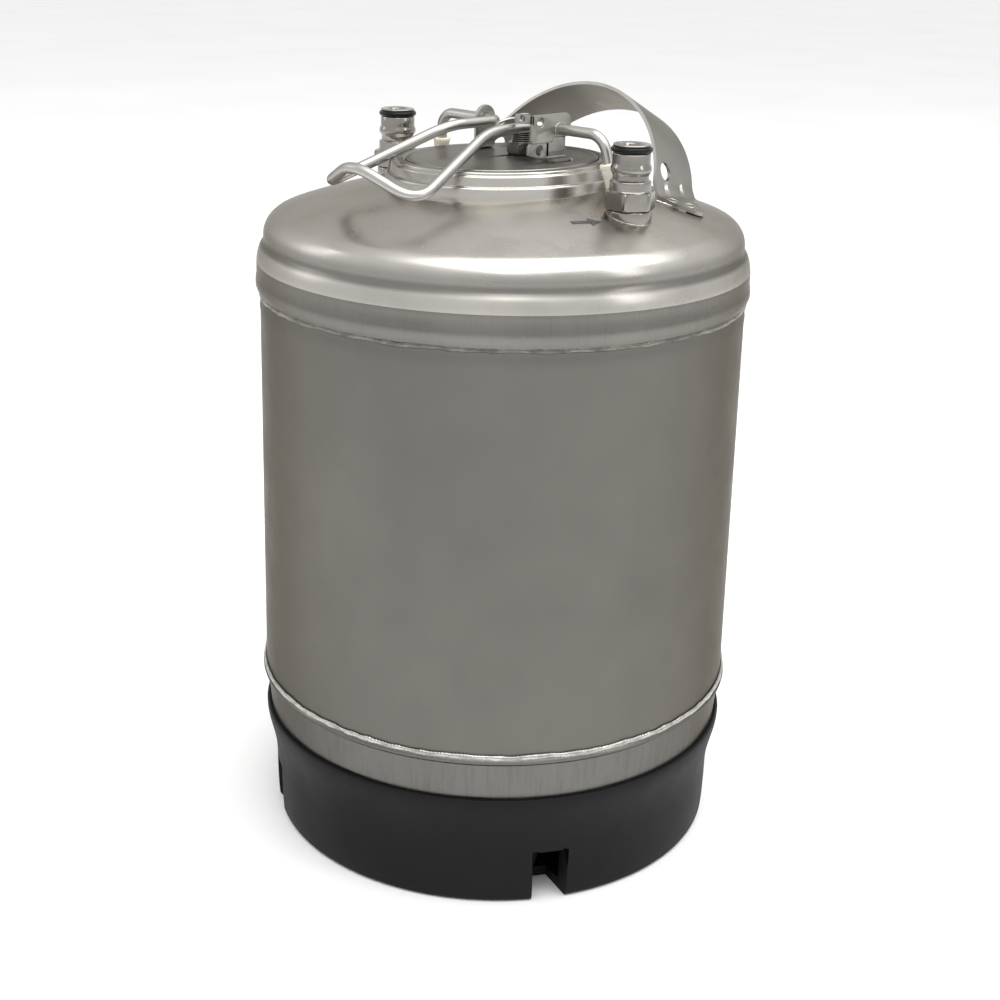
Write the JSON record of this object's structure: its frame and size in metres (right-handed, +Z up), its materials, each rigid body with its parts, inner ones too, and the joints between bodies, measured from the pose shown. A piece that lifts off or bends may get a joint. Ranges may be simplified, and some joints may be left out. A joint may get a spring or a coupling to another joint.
{
  "type": "beer keg",
  "caption": "Small upright steel keg with a rubber boot, an oval lid clamped by a wire bail, two valve posts with dip tubes, and a strap handle.",
  "frame": {"origin": "centre of the rubber boot's bottom face, on the keg's axis", "axes": "+Z up; liquid post towards +X, gas post towards -X, bail grip towards -Y, strap handle towards +Y"},
  "size_m": [0.228, 0.228, 0.3501],
  "materials": {
    "shell": "satin, fine vertical grain",
    "dome": "fine blasted satin",
    "handle": "satin strip, slightly darker inside",
    "machined": "turned and polished",
    "rubber_boot": "matte moulded",
    "seal": "smooth, slightly glossy",
    "tube": "drawn tube",
    "spring": "drawn wire",
    "lid": "satin pressing",
    "valve": "plated, dulled",
    "wire": "bright satin wire",
    "cap": "cream moulded plastic"
  },
  "bodies": {
    "keg": {"body_shell": "shell", "bottom_bowl": "shell", "top_dome": "dome", "hatch_collar": "dome", "rubber_boot": "rubber_boot", "strap_handle": "handle", "liquid_nipple": "machined", "gas_nipple": "machined", "liquid_post": "machined", "gas_post": "machined", "liquid_post_seal": "seal", "gas_post_seal": "seal", "liquid_dip_tube": "tube", "gas_dip_tube": "tube", "liquid_tube_seal": "seal", "gas_tube_seal": "seal"},
    "lid": {"lid_plate": "lid", "lid_seal": "seal", "far_ear": "lid", "near_ear": "lid", "relief_valve_body": "valve", "relief_valve_nut": "machined", "relief_valve_gasket": "seal", "relief_spring": "spring"},
    "bail": {"bail_wire": "wire", "valve_guard": "lid", "left_leg_cap": "cap", "right_leg_cap": "cap"},
    "relief": {"relief_stem": "machined", "relief_seal": "seal"},
    "pull_ring": {"relief_pull_ring": "wire"},
    "liquid_poppet": {"liquid_poppet": "machined", "liquid_poppet_seal": "seal", "liquid_poppet_spring": "spring"},
    "gas_poppet": {"gas_poppet": "machined", "gas_poppet_seal": "seal", "gas_poppet_spring": "spring"}
  },
  "joints": [
    {"name": "lid_drop", "type": "slide", "parent": "keg", "child": "lid", "axis": [0, 0, -1], "range_m": [0, 0.004]},
    {"name": "bail_hinge", "type": "hinge", "parent": "lid", "child": "bail", "pos_m": [0, 0.008, 0.334], "axis": [-1, 0, 0], "range_deg": [0, 100]},
    {"name": "relief_pull", "type": "slide", "parent": "lid", "child": "relief", "axis": [0, 0, 1], "range_m": [0, 0.0025], "stiffness_N_per_m": 600, "springref_m": -0.002, "deforming": ["relief_spring"]},
    {"name": "ring_swing", "type": "hinge", "parent": "relief", "child": "pull_ring", "pos_m": [0.0018, 0.0095, 0.3363], "axis": [-1, 0, 0], "range_deg": [0, 152]},
    {"name": "liquid_poppet_push", "type": "slide", "parent": "keg", "child": "liquid_poppet", "axis": [0, 0, -1], "range_m": [0, 0.003], "stiffness_N_per_m": 400, "springref_m": -0.002, "deforming": ["liquid_poppet_spring"]},
    {"name": "gas_poppet_push", "type": "slide", "parent": "keg", "child": "gas_poppet", "axis": [0, 0, -1], "range_m": [0, 0.003], "stiffness_N_per_m": 400, "springref_m": -0.002, "deforming": ["gas_poppet_spring"]}
  ],
  "couplings": [
    {"joint": "lid_drop", "follows": "bail_hinge", "m_per_rad": 0.0022918}
  ]
}
